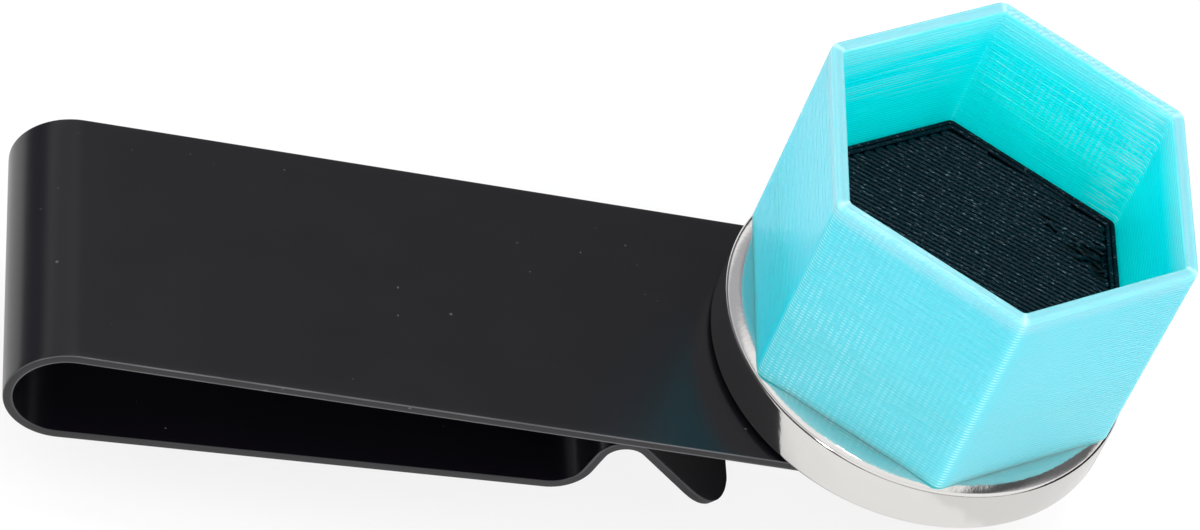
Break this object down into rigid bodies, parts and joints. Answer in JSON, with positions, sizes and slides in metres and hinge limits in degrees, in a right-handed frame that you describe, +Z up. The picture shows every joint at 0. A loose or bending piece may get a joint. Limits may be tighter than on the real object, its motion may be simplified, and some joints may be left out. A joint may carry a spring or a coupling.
{
  "type": "chalk holder",
  "caption": "Magnetic cue-chalk holder: hexagonal printed cup on a plated disc magnet at the end of a black spring-steel belt clip; the cup turns and lifts off.",
  "frame": {"origin": "under the middle of the holder's bounding box, on the level that the clip's fold and flared tip stand on", "axes": "+X along the clip from its fold to the magnet, +Z up, out of the clip's front plate and along the cup's axis"},
  "size_m": [0.0844, 0.0318, 0.0337],
  "materials": {
    "black_coat": "satin black coating on spring steel",
    "nickel_plate": "bright nickel plating, slight orange peel",
    "cyan_print": "printed plastic with fine layer lines",
    "black_print": "printed plastic with diagonal fill lines"
  },
  "bodies": {
    "clip": {"clip_front_plate": "black_coat", "base_magnet": "nickel_plate"},
    "leaf": {"clip_spring_leaf": "black_coat"},
    "trapped_magnet": {"cup_magnet": "nickel_plate"},
    "cup": {"cup_shell": "cyan_print", "floor_insert": "black_print"}
  },
  "joints": [
    {"name": "clip_open", "type": "hinge", "parent": "clip", "child": "leaf", "pos_m": [-0.04224, 0, 0.0047], "axis": [0, 1, 0], "range_deg": [0, 6], "stiffness_Nm_per_rad": 3},
    {"name": "cup_lift", "type": "slide", "parent": "clip", "child": "trapped_magnet", "axis": [0, 0, 1], "range_m": [0, 0.03]},
    {"name": "cup_spin", "type": "hinge", "parent": "trapped_magnet", "child": "cup", "pos_m": [0.02636, 0, 0.01416], "axis": [0, 0, 1], "continuous": true}
  ]
}
